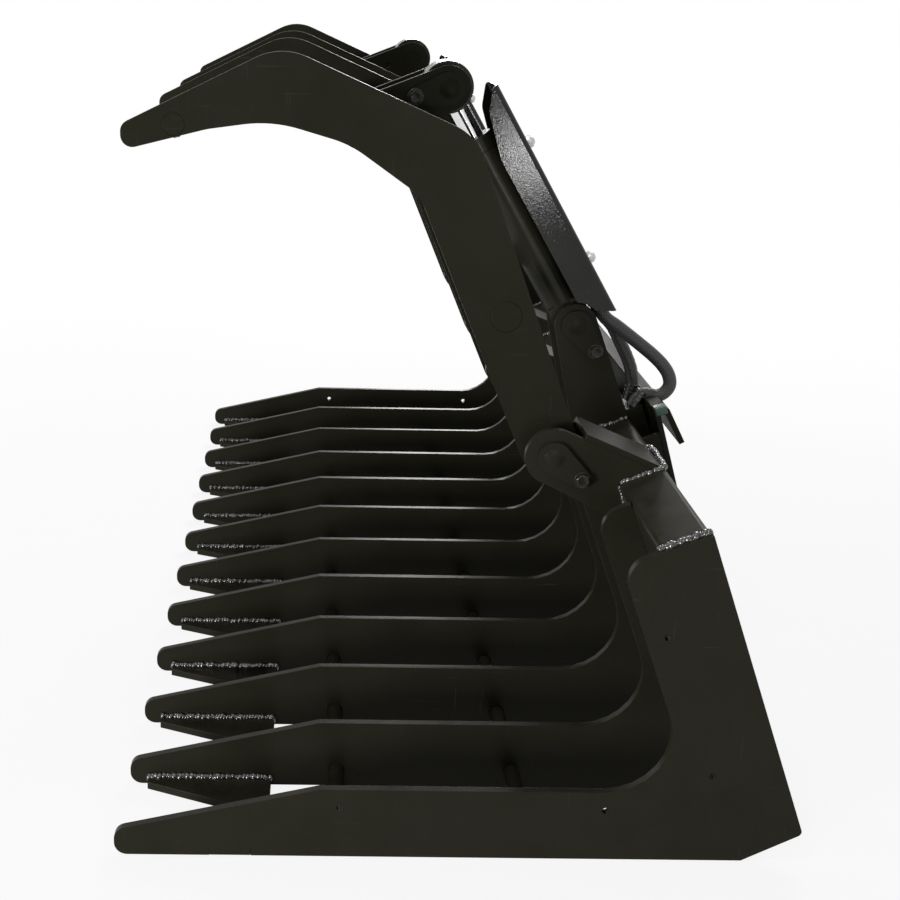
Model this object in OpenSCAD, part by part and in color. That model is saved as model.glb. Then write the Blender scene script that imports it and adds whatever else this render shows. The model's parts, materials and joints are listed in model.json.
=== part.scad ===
// Rock and brush grapple for a small loader, in millimetres.
// X runs from the tine tips to the rear, Y across the width, Z up from the ground.

/* [Frame] */
// Width over the two side plates
overall_w = 2134; // [1500:1:2400]
// Length of a tine from its tip to its heel
tine_len = 1012; // [900:1:1150]
// Number of ribs, with the two side plates
rib_count = 12; // [8:2:16]
// Thickness of side plates, tines, ears and arm plates
plate_t = 12.7; // [8:0.1:16]
// Height of a tine's floor leg
floor_h = 112; // [90:1:140]
// Distance from the tip to the end of the tine's slope
slope_len = 300; // [240:1:360]
// Radius of a tine's tip
nose_r = 19; // [12:1:20]
// Height of a tine's tip
nose_h = 41; // [40:1:50]
// Angle by which the back leans forward
lean = 21; // [10:1:26]
// Depth of a tine's back leg
leg_w = 131; // [110:1:160]
// Height of the back, measured along its lean
back_h = 503; // [420:1:560]
// Height of the heel's corner
heel_z = 46; // [30:1:60]
// Length of the chamfer under the heel
heel_run = 87; // [50:1:120]
// Inside radius between floor leg and back leg
throat_r = 92; // [60:1:110]
// Radius of a tine's upper front corner
crown_r = 38; // [20:1:45]
// Hole in a side plate
side_hole_d = 10; // [6:1:14]

/* [Cross members] */
// Side of the square top tube
tube_s = 76.2; // [70:0.1:90]
// Wall of the square top tube
tube_wall = 6.35; // [4:0.1:10]
// Outside corner radius of the square top tube
tube_r = 9; // [7:0.5:12]
// Diameter of the round cross rods
rod_d = 25.4; // [18:0.1:32]
// Distance of the front rod from the tips
front_rod_x = 328; // [310:1:380]
// Distance of the rear rod from the tips
rear_rod_x = 608; // [540:1:660]
// Height of the round rods
rod_z = 27; // [16:1:60]
// Thickness of the front floor plate
floor_t = 12.7; // [8:0.1:14]
// Distance from the tips to the front floor plate
floor_x = 28.5; // [26:0.5:60]
// Depth of the front floor plate
floor_run = 195.5; // [190:0.5:230]
// Depth of the notch between two tines
notch_run = 168; // [60:1:172]
// Width of the straight edge beside a notch
notch_side = 17; // [8:1:24]
// Distance from the tips to the tabs through the tines
tab_x = 140; // [120:1:145]
// Length of a tab
tab_run = 60; // [40:1:65]
// Thickness of the heel plate
heel_plate_t = 12.7; // [8:0.1:16]
// Width of the heel plate
heel_plate_w = 150; // [100:1:200]
// Height of the heel plate's lower edge along the back
heel_plate_s = 70; // [60:1:110]

/* [Quick attach] */
// Width of the attach plate
attach_w = 1143; // [1100:1:1200]
// Thickness of the attach plate
attach_t = 9.5; // [8:0.1:12]
// Gap between the back and the attach plate
attach_gap = 35.5; // [32:0.5:45]
// Lower edge of the attach plate along the back
attach_low = 70; // [60:1:100]
// Height of the attach plate's upper edge above the top tube
attach_rise = 5; // [0:1:8]
// Angle by which the attach plate stands more upright than the back
attach_tilt = 3.5; // [0:0.1:4]
// Length of the hooked top lip
lip_len = 60.5; // [50:0.5:75]
// Angle between the lip and the attach plate
lip_ang = 11; // [5:0.5:25]
// Depth of the pocket under the lip at its top
lip_step = 8; // [5:0.5:12]
// Height of the pocket's ceiling above the attach plate
lip_clear = 0.5; // [0.3:0.1:1]
// Height of the lip above the attach plate
lip_rise = 13.5; // [12:0.5:16]
// Depth of the slotted foot behind the attach plate
foot_run = 50; // [45:1:70]
// Thickness of the slotted foot
foot_t = 12.7; // [10:0.1:16]
// Length of a latch slot
slot_len = 76; // [60:1:90]
// Width of a latch slot
slot_w = 26; // [20:1:32]
// Distance from an end of the foot to the middle of its latch slot
slot_inset = 91.5; // [80:0.5:110]
// Width of the window for the couplers
window_w = 240; // [200:1:300]
// Height of the window for the couplers
window_h = 120; // [100:1:140]

/* [Arms] */
// Gap between an outer pair of ears and the tine inside it
ear_beside = 3.691; // [2:0.001:20]
// Gap between an inner pair of ears and the tine outside it
ear_within = 33.918; // [20:0.001:60]
// Pivot pin's distance ahead of the top tube
pivot_ahead = 82; // [70:1:95]
// Pivot pin's height above the top tube
pivot_rise = 76; // [66:1:90]
// Diameter of all pins
pin_d = 31.75; // [25:0.05:38]
// Outside diameter of an arm's pivot boss
boss_d = 63.5; // [56:0.1:72]
// Radius of an arm plate's root
root_r = 46; // [40:1:50]
// Radius of an ear around its pin
ear_r = 45; // [38:1:48]
// Width over a pair of ears or cylinder mounts
ear_span = 98; // [90:1:105]
// Thickness of the cap over a pair of ears
cap_t = 9.5; // [6:0.1:12]
// Side of the square tube at an arm's elbow
elbow_s = 63.5; // [50:0.1:70]
// Wall of the elbow tube
elbow_wall = 6.35; // [4:0.1:8]
// Outside corner radius of the elbow tube
elbow_r = 8.5; // [8.1:0.1:12]
// Diameter of the pipe halfway up an arm
middle_d = 48.3; // [38:0.1:60]
// Diameter of the bar near an arm's tips
tip_bar_d = 33.4; // [25:0.1:36]
// Radius of a rod lug around its pin
lug_r = 36; // [30:1:40]

/* [Cylinders] */
// Base pin's distance ahead of the back
base_ahead = 39.6; // [30:0.1:50]
// Base pin's height above the top tube
base_rise = 189; // [180:1:200]
// Radius of a cylinder mount around its pin
mount_r = 36; // [34:1:40]
// Outside diameter of a barrel
barrel_d = 64; // [60:1:68]
// Bore of a barrel
bore_d = 50.8; // [44:0.1:54]
// Diameter of a piston rod
rod_shaft_d = 31.75; // [25:0.05:36]
// Distance from the base pin to the barrel's open end
barrel_end = 330; // [310:1:340]
// Length of the gland outside the barrel
gland_len = 26; // [18:1:34]
// Wall of the rod eye
eye_wall = 6.6; // [5:0.1:10]
// Radial clearance of the open pivot in the rod eye
open_pivot = 19.5; // [18.5:0.1:22]
// Sheet thickness of a cylinder guard
guard_t = 4; // [3:0.5:6]
// Depth of a guard's flanges
guard_deep = 52; // [44:1:56]
// Distance from the cylinder's axis to the guard's back
guard_off = 71; // [66:1:80]
// Outside radius of a guard's bends
guard_bend = 9; // [6:0.5:12]
// Distance from the base pin to the guard's point
guard_len = 418; // [400:1:440]

/* [Fasteners and oil lines] */
// Thickness of a pin's retaining plate
retainer_t = 8; // [6:0.5:10]
// Distance from a pin to its retaining bolt
retainer_reach = 56; // [52:1:60]
// Diameter of a retaining bolt
bolt_d = 12; // [8:1:14]
// Diameter of a hose
hose_d = 20; // [16:1:24]
// Diameter of a steel oil tube
oil_d = 14; // [10:1:16]
// Width of a hose block
block_y = 60; // [50:1:70]
// Depth of a hose block and of the manifold
block_w = 30; // [26:1:32]
// Distance from the top of the back down to a hose block's foot
block_drop = 58; // [54:1:66]
// Height of a hose block above the top tube
block_rise = 8; // [6:1:10]
// Width of the manifold
manifold_w = 120; // [100:1:140]
// Distance from the top of the back down to the manifold's foot
manifold_drop = 62; // [58:1:70]
// Height of the manifold
manifold_h = 48; // [40:1:50]

/* [Fits] */
// Radial clearance of a pin in its bore
run_fit = 0.05; // [0.02:0.01:0.1]
// Gap at a welded seat
weld_gap = 0.1; // [0.05:0.05:0.3]
// Gap between pieces that move past each other
side_gap = 0.6; // [0.4:0.1:1]

/* [Hidden] */
$fn = 64;
corner_steps = 8;
black = "#1b1b1a";
steel = "#b9b9b4";
big = 3000;

half_w = overall_w / 2;
rib_pitch = (overall_w - plate_t) / (rib_count - 1);
function rib_y(i) = -half_w + plate_t / 2 + i * rib_pitch;

// The ribs beside an arm's outer and inner pairs of ears
outer_rib = round(2 * (rib_count - 1) / 11);
inner_rib = round(4 * (rib_count - 1) / 11);
outer_pair_y = -rib_y(outer_rib) + plate_t / 2 + ear_beside + ear_span / 2;
inner_pair_y = -rib_y(inner_rib) - plate_t / 2 - ear_within - ear_span / 2;
arm_y = (outer_pair_y + inner_pair_y) / 2;
arm_half = (outer_pair_y - inner_pair_y) / 2;

// A point given by its distance ahead of the back's rear line and its height along it
function back(w, s) = [tine_len - w * cos(lean) - s * sin(lean),
                       heel_z - w * sin(lean) + s * cos(lean)];
tube_front = back(tube_s, back_h);
tube_foot = back(tube_s, back_h - tube_s);
attach_rear = -attach_gap - attach_t;
attach_top = back_h + attach_rise;
attach_root = back(-attach_gap, attach_top);
// A point in the frame of the attach plate, which turns about its upper front edge
function tail(w, s) =
    let (a = lean - attach_tilt, dw = w + attach_gap, ds = s - attach_top)
    attach_root - dw * [cos(a), sin(a)] + ds * [-sin(a), cos(a)];
foot_corner = tail(attach_rear - foot_run, attach_low - foot_t);
pivot = back(tube_s + pivot_ahead, back_h + pivot_rise);
base_pin = back(base_ahead, back_h + base_rise);
pin_r = pin_d / 2;
ear_gap = ear_span - 2 * plate_t;
eye_w = ear_gap - 2 * side_gap;

// Arm outline, from the pivot: x, z and corner radius
arm_tip_low = [-664, 451, 17];
arm_tip_top = [-664, 489, 17];
arm_peak = [-429, 605, 90];
arm_elbow = [-141, 482, 80];
arm_throat = [-221, 393, 70];
arm_belly = [-327, 466, 160];
arm_arch = [-442, 498, 200];
arm_chin = [-537, 484, 150];
// Halfway between the foremost and the rearmost point
mid_x = (min(0, pivot[0] + arm_tip_low[0]) + max(tine_len, foot_corner[0])) / 2;
elbow_tube_at = [-290.6, 480.7];
elbow_tube_lean = 23.2;
middle_at = [-81, 211];
tip_bar_at = [-586, 490];
rod_pin_at = [-164, 534];
rod_pin = pivot + rod_pin_at;
cyl_run = norm(rod_pin - base_pin);
cyl_turn = atan2(rod_pin[0] - base_pin[0], rod_pin[1] - base_pin[1]);
eye_bore_r = pin_r + open_pivot;
eye_r = eye_bore_r + eye_wall;

// Arc that rounds the corner b between a and c
function corner(a, b, c, r) =
    r == 0 ? [b] :
    let (u = (a - b) / norm(a - b), v = (c - b) / norm(c - b), half = acos(u * v) / 2,
         mid = b + (u + v) / norm(u + v) * r / sin(half),
         p = b + u * r / tan(half) - mid, q = b + v * r / tan(half) - mid,
         from = atan2(p[1], p[0]), turn = (atan2(q[1], q[0]) - from + 540) % 360 - 180)
    [for (i = [0:corner_steps]) mid + r * [cos(from + turn * i / corner_steps),
                                           sin(from + turn * i / corner_steps)]];
// Outline with rounded corners, from a list of x, z and radius
function rounded(p) =
    let (n = len(p), xz = [for (q = p) [q[0], q[1]]])
    [for (i = [0:n - 1]) each corner(xz[(i + n - 1) % n], xz[i], xz[(i + 1) % n], p[i][2])];
function with_r(p, r) = [p[0], p[1], r];
// Where a line from point p touches the circle at c, on the side given by 1 or -1,
// just inside its rim so that line and arc cross cleanly
rim = 0.05;
function touch(c, r, p, side) =
    let (d = norm(p - c), a = atan2(p[1] - c[1], p[0] - c[0]) + side * acos((r - rim) / d))
    c + (r - rim) * [cos(a), sin(a)];

// A plate cut from an XZ outline, from y0 to y0 + t
module slab(y0, t) translate([0, y0 + t, 0]) rotate([90, 0, 0]) linear_extrude(t) children();
// A round bar along Y
module bar(at, r, y0, len) translate([at[0], y0 + len, at[1]]) rotate([90, 0, 0]) cylinder(r = r, h = len);
// A hole along Y in a plate
module bore(at, r, y0, t) bar(at, r, y0 - 1, t + 2);
// A block in the frame of the leaning back: w ahead, s up
module back_block(w0, w1, s0, s1, y0, y1)
    slab(y0, y1 - y0) polygon([back(w0, s0), back(w1, s0), back(w1, s1), back(w0, s1)]);
module tail_block(w0, w1, s0, s1, y0, y1)
    slab(y0, y1 - y0) polygon([tail(w0, s0), tail(w1, s0), tail(w1, s1), tail(w0, s1)]);
module placed() translate([-mid_x, 0, 0]) children();
// The cylinder's own frame: Z along its axis from the base pin, X towards the guard
module cyl_frame(side) translate([base_pin[0], side * arm_y, base_pin[1]]) rotate([0, cyl_turn, 0]) children();

// Ribs
side_holes = [[330, floor_h - 30], [718, floor_h - 30], back(100, 140), back(102, 377)];
module rib_outline() {
    heel_foot = tine_len - heel_run;
    throat = back(leg_w, (floor_h - heel_z + leg_w * sin(lean)) / cos(lean));
    polygon(rounded([
        [0, 0, nose_r], [heel_foot, 0, 0], with_r(back(0, 0), 8), with_r(back(0, back_h), 0),
        with_r(back(leg_w, back_h), crown_r), with_r(throat, throat_r),
        [slope_len, floor_h, 12], [0, nose_h, nose_r]]));
}
module side_plate(side) {
    y0 = side < 0 ? -half_w : half_w - plate_t;
    placed() color(black) difference() {
        slab(y0, plate_t) rib_outline();
        for (at = side_holes) bore(at, side_hole_d / 2, y0, plate_t);
        tab_cut(y0);
    }
}
module tab_cut(y0)
    translate([tab_x - weld_gap, y0 - 1, -1])
        cube([tab_run + 2 * weld_gap, plate_t + 2, floor_t + 1 + weld_gap]);
module tine(i) {
    y0 = rib_y(i) - plate_t / 2;
    placed() color(black) difference() {
        slab(y0, plate_t) rib_outline();
        tab_cut(y0);
        back_block(-50, tube_s + weld_gap, back_h - tube_s - weld_gap, back_h + 50, y0 - 1, y0 + plate_t + 1);
        back_block(-50, heel_plate_t + weld_gap, heel_plate_s - weld_gap,
                   heel_plate_s + heel_plate_w + weld_gap, y0 - 1, y0 + plate_t + 1);
        for (x = [front_rod_x, rear_rod_x]) bore([x, rod_z], rod_d / 2 + weld_gap, y0, plate_t);
    }
}

// Cross members
module front_floor_plate() placed() color(black) linear_extrude(floor_t) {
    for (i = [0:rib_count - 2]) {
        ya = rib_y(i) + plate_t / 2 + weld_gap;
        yb = rib_y(i + 1) - plate_t / 2 - weld_gap;
        polygon([[floor_x, ya], [floor_x, ya + notch_side], [floor_x + notch_run, (ya + yb) / 2],
                 [floor_x, yb - notch_side], [floor_x, yb], [floor_x + floor_run, yb], [floor_x + floor_run, ya]]);
    }
    for (i = [0:rib_count - 1]) {
        ya = i == 0 ? -half_w : rib_y(i) - plate_t / 2 - notch_side;
        yb = i == rib_count - 1 ? half_w : rib_y(i) + plate_t / 2 + notch_side;
        translate([tab_x, ya]) square([tab_run, yb - ya]);
    }
}
module cross_rods() placed() color(black) for (x = [front_rod_x, rear_rod_x])
    bar([x, rod_z], rod_d / 2, -half_w + plate_t, overall_w - 2 * plate_t);
module tube_outline(inset, r) {
    low = back_h - tube_s + inset;
    polygon(rounded([with_r(back(inset, low), r), with_r(back(tube_s - inset, low), r),
                     with_r(back(tube_s - inset, back_h - inset), r), with_r(back(inset, back_h - inset), r)]));
}
module top_tube() placed() color(black) difference() {
    slab(-half_w + plate_t, overall_w - 2 * plate_t) tube_outline(0, tube_r);
    slab(-half_w, overall_w) tube_outline(tube_wall, tube_r - tube_wall);
}
module heel_plate() placed() color(black)
    back_block(0, heel_plate_t, heel_plate_s, heel_plate_s + heel_plate_w, -half_w + plate_t, half_w - plate_t);

// Quick attach
window_s = attach_top - 22 - window_h;
module attach_plate() placed() color(black) difference() {
    tail_block(attach_rear, -attach_gap, attach_low, attach_top, -attach_w / 2, attach_w / 2);
    tail_block(attach_rear - 1, -attach_gap + 1, window_s, window_s + window_h, -window_w / 2, window_w / 2);
}
module attach_lip() placed() color(black) {
    root = [attach_rear - lip_step, attach_top + lip_clear];
    tip = root - lip_len * [sin(lip_ang), cos(lip_ang)];
    edge = tip + attach_t * [-cos(lip_ang), sin(lip_ang)];
    top = attach_top + lip_rise;
    shoulder = edge + (top - 3 - edge[1]) * [tan(lip_ang), 1];
    slab(-attach_w / 2, attach_w) polygon(rounded([for (p = [
        [attach_rear, attach_top, 0], [attach_rear, root[1], 0], with_r(root, 0), with_r(tip, 1), with_r(edge, 1), with_r(shoulder, 6),
        [-attach_gap, top, 2], [-attach_gap, attach_top, 0]]) with_r(tail(p[0], p[1]), p[2])]));
}
module attach_foot() placed() color(black) difference() {
    tail_block(attach_rear - foot_run, -attach_gap, attach_low - foot_t, attach_low, -attach_w / 2, attach_w / 2);
    for (side = [-1, 1]) {
        mid = attach_rear - foot_run / 2;
        slot_y = side * (attach_w / 2 - slot_inset);
        tail_block(mid - slot_w / 2, mid + slot_w / 2, attach_low - foot_t - 1, attach_low + 1,
                   slot_y - slot_len / 2, slot_y + slot_len / 2);
    }
}
module gusset(y, high)
    slab(y - plate_t / 2, plate_t) polygon([back(0, attach_low), back(0, high),
        tail(-attach_gap, high), tail(-attach_gap, attach_low)]);
module attach_gussets() placed() color(black) {
    for (i = [0:rib_count - 1]) if (abs(rib_y(i)) < attach_w / 2 - plate_t)
        gusset(rib_y(i), back_h - tube_s - 10);
    for (side = [-1, 1]) gusset(side * (attach_w - plate_t) / 2, attach_top - 30);
}

// Arm ears, caps and cylinder mounts
ear_seat = back(15, back_h);
ear_top = touch(pivot, ear_r, ear_seat, 1);
ear_low = touch(pivot, ear_r, tube_foot, -1);
ear_bolt = pivot + retainer_reach * [0.805, -0.593];
mount_bolt = base_pin + retainer_reach * [0.62, -0.785];
lug_bolt = rod_pin + retainer_reach * [-0.97, -0.24];
module ear_outline() polygon([ear_top, ear_seat, tube_front, tube_foot, ear_low]);
module pair(y, span, t) for (k = [-1, 1]) translate([0, y + k * (span - t) / 2 - t / 2, 0]) children();
module ears(side) placed() color(black)
    for (q = [-1, 1]) pair(side * arm_y + q * arm_half, ear_span, plate_t) difference() {
        slab(0, plate_t) { ear_outline(); translate(pivot) circle(ear_r); }
        bore(pivot, pin_r + run_fit, 0, plate_t);
        bore(ear_bolt, bolt_d / 2 + run_fit, 0, plate_t);
    }
module ear_caps() placed() color(black) {
    run = (ear_seat - ear_top) / norm(ear_seat - ear_top);
    up = [-run[1], run[0]];
    start = ear_top + 30 * run;
    slope = acos(run * [cos(lean), sin(lean)]);
    foot = ear_seat + cap_t / sin(slope) * [cos(lean), sin(lean)];
    for (y = [-arm_y - arm_half, -arm_y + arm_half, arm_y - arm_half, arm_y + arm_half])
        slab(y - ear_span / 2, ear_span) polygon([start, ear_seat, foot, start + cap_t * up]);
}
mount_foot = back(100, back_h + 6);
module cylinder_mounts() placed() color(black) for (side = [-1, 1])
    pair(side * arm_y, ear_span, plate_t) difference() {
        slab(0, plate_t) {
            polygon([touch(base_pin, mount_r, mount_foot, -1), mount_foot, back(tube_s, back_h - 48),
                     tube_front, back(2, back_h), touch(base_pin, mount_r, back(2, back_h), 1)]);
            translate(base_pin) circle(mount_r);
        }
        bore(base_pin, pin_r + run_fit, 0, plate_t);
        bore(mount_bolt, bolt_d / 2 + run_fit, 0, plate_t);
    }

// Pins, retaining plates and bolts
module pin(at, y) bar(at, pin_r, y - ear_span / 2, ear_span);
module pivot_pins() placed() color(steel)
    for (side = [-1, 1]) for (q = [-1, 1]) pin(pivot, side * arm_y + q * arm_half);
module base_pins() placed() color(steel) for (side = [-1, 1]) pin(base_pin, side * arm_y);
module teardrop(at, bolt_at) {
    big_r = pin_r + 10;
    small_r = bolt_d / 2 + 8;
    difference() {
        hull() {
            translate(at) circle(big_r);
            translate(bolt_at) circle(small_r);
        }
        translate(bolt_at) circle(bolt_d / 2 + run_fit);
    }
}
// The outer face of a pair, on the side given
function outer_y(y, side) = y + side * ear_span / 2;
module retainer(at, bolt_at, y, side)
    slab(side < 0 ? outer_y(y, side) - retainer_t : outer_y(y, side), retainer_t) teardrop(at, bolt_at);
module bolt(at, y, side) {
    face = outer_y(y, side) + side * retainer_t;
    shank = retainer_t + plate_t - 1;
    bar(at, bolt_d / 2, side < 0 ? face : face - shank, shank);
    translate([at[0], side < 0 ? face : face + 8, at[1]]) rotate([90, 0, 0]) cylinder(r = bolt_d * 0.9, h = 8, $fn = 6);
}
module frame_retainers() placed() color(black) for (side = [-1, 1]) {
    for (q = [-1, 1]) retainer(pivot, ear_bolt, side * arm_y + q * arm_half, side);
    retainer(base_pin, mount_bolt, side * arm_y, side);
}
module frame_bolts() placed() color(steel) for (side = [-1, 1]) {
    for (q = [-1, 1]) bolt(ear_bolt, side * arm_y + q * arm_half, side);
    bolt(mount_bolt, side * arm_y, side);
}

// Arms
function from_pivot(p, r) = [pivot[0] + p[0], pivot[1] + p[1], r];
module arm_outline() {
    rear = touch(pivot, root_r, pivot + [arm_elbow[0], arm_elbow[1]], -1);
    front = touch(pivot, root_r, pivot + [arm_throat[0], arm_throat[1]], 1);
    polygon(rounded(concat(
        [with_r(rear, 0)],
        [for (p = [arm_elbow, arm_peak, arm_tip_top, arm_tip_low, arm_chin, arm_arch, arm_belly, arm_throat])
            from_pivot(p, p[2])],
        [with_r(front, 0)])));
    translate(pivot) circle(root_r);
}
module arm_plates(side) placed() color(black) for (q = [-1, 1]) {
    y0 = side * arm_y + q * arm_half - plate_t / 2;
    difference() {
        slab(y0, plate_t) arm_outline();
        bore(pivot, boss_d / 2 + weld_gap, y0, plate_t);
        bore(pivot + middle_at, middle_d / 2 + weld_gap, y0, plate_t);
        bore(pivot + tip_bar_at, tip_bar_d / 2 + weld_gap, y0, plate_t);
    }
}
module arm_bosses(side) placed() color(black) for (q = [-1, 1]) difference() {
    bar(pivot, boss_d / 2, side * arm_y + q * arm_half - eye_w / 2, eye_w);
    bore(pivot, pin_r + run_fit, side * arm_y + q * arm_half - eye_w / 2, eye_w);
}
module elbow_frame() translate([pivot[0] + elbow_tube_at[0], 0, pivot[1] + elbow_tube_at[1]])
    rotate([0, elbow_tube_lean, 0]) children();
module arm_cross_members(side) placed() color(black) {
    over = 2 * arm_half + plate_t;
    inner = 2 * arm_half - plate_t;
    bar(pivot + middle_at, middle_d / 2, side * arm_y - over / 2, over);
    bar(pivot + tip_bar_at, tip_bar_d / 2, side * arm_y - over / 2, over);
    elbow_frame() difference() {
        slab(side * arm_y - inner / 2, inner) square_outline(elbow_s / 2, elbow_r);
        slab(side * arm_y - inner / 2 - 1, inner + 2) square_outline(elbow_s / 2 - elbow_wall, elbow_r - elbow_wall);
    }
}
module square_outline(half, r)
    polygon(rounded([[-half, -half, r], [half, -half, r], [half, half, r], [-half, half, r]]));
function elbow_point(u, v) = pivot + elbow_tube_at
    + [u * cos(elbow_tube_lean) + v * sin(elbow_tube_lean), v * cos(elbow_tube_lean) - u * sin(elbow_tube_lean)];
module rod_lugs(side) placed() color(black) pair(side * arm_y, ear_span, plate_t) {
    half = elbow_s / 2;
    low = elbow_point(half, elbow_r - half);
    top = elbow_point(elbow_r - half, half);
    difference() {
        slab(0, plate_t) {
            polygon([top, elbow_point(half, half), low, touch(rod_pin, lug_r, low, 1),
                     touch(rod_pin, lug_r, top, -1)]);
            translate(rod_pin) circle(lug_r);
        }
        bore(rod_pin, pin_r + run_fit, 0, plate_t);
        bore(lug_bolt, bolt_d / 2 + run_fit, 0, plate_t);
    }
}
module rod_pin_piece(side) placed() color(steel) pin(rod_pin, side * arm_y);
module rod_retainer(side) placed() {
    color(black) retainer(rod_pin, lug_bolt, side * arm_y, side);
    color(steel) bolt(lug_bolt, side * arm_y, side);
}

// Cylinders
port_n = barrel_d / 2 + 16;
port_z = 55;
port_y = 18;
port_end = 30;
rod_port_z = barrel_end - 58;
rod_port_n = barrel_d / 2 + 4;
port_r = 9.5;
standoff_r = 10;
module barrel(side) placed() color(black) cyl_frame(side) {
    difference() {
        union() {
            translate([0, 0, 38]) cylinder(r = barrel_d / 2, h = barrel_end - 38);
            rotate([90, 0, 0]) cylinder(r = mount_r - 4, h = eye_w, center = true);
            translate([4 - mount_r, -eye_w / 2 + 6, 0]) cube([2 * mount_r - 8, eye_w - 12, 40]);
            for (z = nut_z) translate([barrel_d / 2 - 3, 0, z]) rotate([0, 90, 0])
                cylinder(r = standoff_r, h = guard_off - guard_t - barrel_d / 2 + 3);
            translate([20, port_y, rod_port_z]) rotate([0, 90, 0]) cylinder(r = port_r + 1.5, h = rod_port_n - 20);
        }
        translate([0, 0, 52]) cylinder(r = bore_d / 2, h = barrel_end);
        rotate([90, 0, 0]) cylinder(r = pin_r + run_fit, h = eye_w + 2, center = true);
    }
    translate([barrel_d / 2 - 3, -port_y, port_z]) rotate([0, 90, 0]) cylinder(r = 10, h = port_n - barrel_d / 2 + 13);
    translate([port_n, -port_y, port_end]) cylinder(r = port_r, h = port_z - port_end);
}
module gland(side) placed() color(black) cyl_frame(side) difference() {
    union() {
        translate([0, 0, barrel_end]) cylinder(r = barrel_d / 2 - 1.5, h = gland_len);
        translate([0, 0, barrel_end - 22]) cylinder(r = bore_d / 2 - run_fit, h = 23);
    }
    translate([0, 0, barrel_end - 23]) cylinder(r = rod_shaft_d / 2 + run_fit, h = gland_len + 30);
}
guard_w = ear_span + 2 * (2 + guard_t);
nut_z = [80, 304];
nut_r = 11;
module channel(inset, r) {
    half = guard_w / 2 - inset;
    translate([0, 0, -50]) linear_extrude(guard_len + 100) polygon(rounded([
        [-big, -half, 0], [guard_off - inset, -half, r], [guard_off - inset, half, r], [-big, half, 0]]));
}
module guard(side) placed() color(black) cyl_frame(side) difference() {
    intersection() {
        slab(-guard_w / 2, guard_w) polygon(rounded([
            [guard_off - guard_deep, 20, 0], [guard_off, -12, 0], [guard_off, guard_len, 2],
            [guard_off - 9, guard_len, 8], [guard_off - 33, guard_len - 31, 30],
            [guard_off - guard_deep, guard_len - 108, 40]]));
        channel(0, guard_bend);
    }
    channel(guard_t, guard_bend - guard_t);
    rotate([90, 0, 0]) cylinder(r = mount_r + 4, h = guard_w + 2, center = true);
    for (z = nut_z) translate([0, 0, z]) rotate([0, 90, 0]) cylinder(r = 6 + weld_gap, h = guard_off + 1);
}
module guard_nuts(side) placed() color(steel) cyl_frame(side) for (z = nut_z) {
    translate([guard_off - guard_t, 0, z]) rotate([0, 90, 0]) cylinder(r = 6, h = guard_t + 2);
    translate([guard_off, 0, z]) rotate([0, 90, 0]) cylinder(r = nut_r, h = 9, $fn = 6);
    translate([guard_off + 9, 0, z]) rotate([0, 90, 0]) cylinder(r = nut_r - 3, h = 5);
}
module oil_tube(side) placed() color(black) cyl_frame(side) {
    translate([port_n, port_y, port_end]) cylinder(r = port_r, h = 22);
    translate([port_n, port_y, port_end + 20]) cylinder(r = oil_d / 2, h = rod_port_z - port_end - 20);
    translate([port_n, port_y, rod_port_z]) sphere(r = port_r);
    translate([rod_port_n + weld_gap, port_y, rod_port_z]) rotate([0, 90, 0])
        cylinder(r = port_r, h = port_n - rod_port_n - weld_gap);
}
module rod(side) placed() color(steel) cyl_frame(side) difference() {
    union() {
        translate([0, 0, 60]) cylinder(r = rod_shaft_d / 2, h = cyl_run - eye_bore_r - 62);
        translate([0, 0, cyl_run]) rotate([90, 0, 0]) cylinder(r = eye_r, h = eye_w - 10, center = true);
    }
    translate([0, 0, cyl_run]) rotate([90, 0, 0]) cylinder(r = eye_bore_r, h = eye_w, center = true);
    translate([0, 0, 60]) cylinder(r = 11, h = 26);
}
module piston(side) placed() color(steel) cyl_frame(side) {
    translate([0, 0, 61]) cylinder(r = 11 - run_fit, h = 25);
    difference() {
        translate([0, 0, 60]) cylinder(r = bore_d / 2 - run_fit, h = 26);
        translate([0, 0, 59]) cylinder(r = rod_shaft_d / 2 + run_fit, h = 30);
    }
    translate([0, 0, 54]) cylinder(r = bore_d / 2 - 4, h = 6.01);
}

// Oil lines behind the top tube
block_s = [back_h - block_drop, back_h + block_rise];
line_w = -block_w / 2;
module hose_blocks() placed() color(black) for (side = [-1, 1])
    back_block(-block_w, -weld_gap, block_s[0], block_s[1],
               side * arm_y - block_y / 2, side * arm_y + block_y / 2);
manifold_s = [back_h - manifold_drop, back_h - manifold_drop + manifold_h];
line_s = [manifold_s[0] + manifold_h / 4, manifold_s[1] - manifold_h / 4];
module manifold() placed() color(black)
    back_block(-block_w, -weld_gap, manifold_s[0], manifold_s[1], -manifold_w / 2, manifold_w / 2);
module cross_tubes() placed() color(steel) for (side = [-1, 1]) for (s = line_s) {
    run = arm_y - block_y / 2 - manifold_w / 2;
    bar(back(line_w, s), oil_d / 2, side < 0 ? -arm_y + block_y / 2 : manifold_w / 2, run);
}
module couplers() placed() color(steel) for (side = [-1, 1]) {
    at = back(line_w, manifold_s[0]);
    translate([at[0], side * manifold_w / 4, at[1]]) rotate([0, 180 - lean, 0]) {
        cylinder(r = 13, h = 18, $fn = 6);
        translate([0, 0, 18]) cylinder(r = block_w / 2 - 1, h = 34);
    }
}

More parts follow.
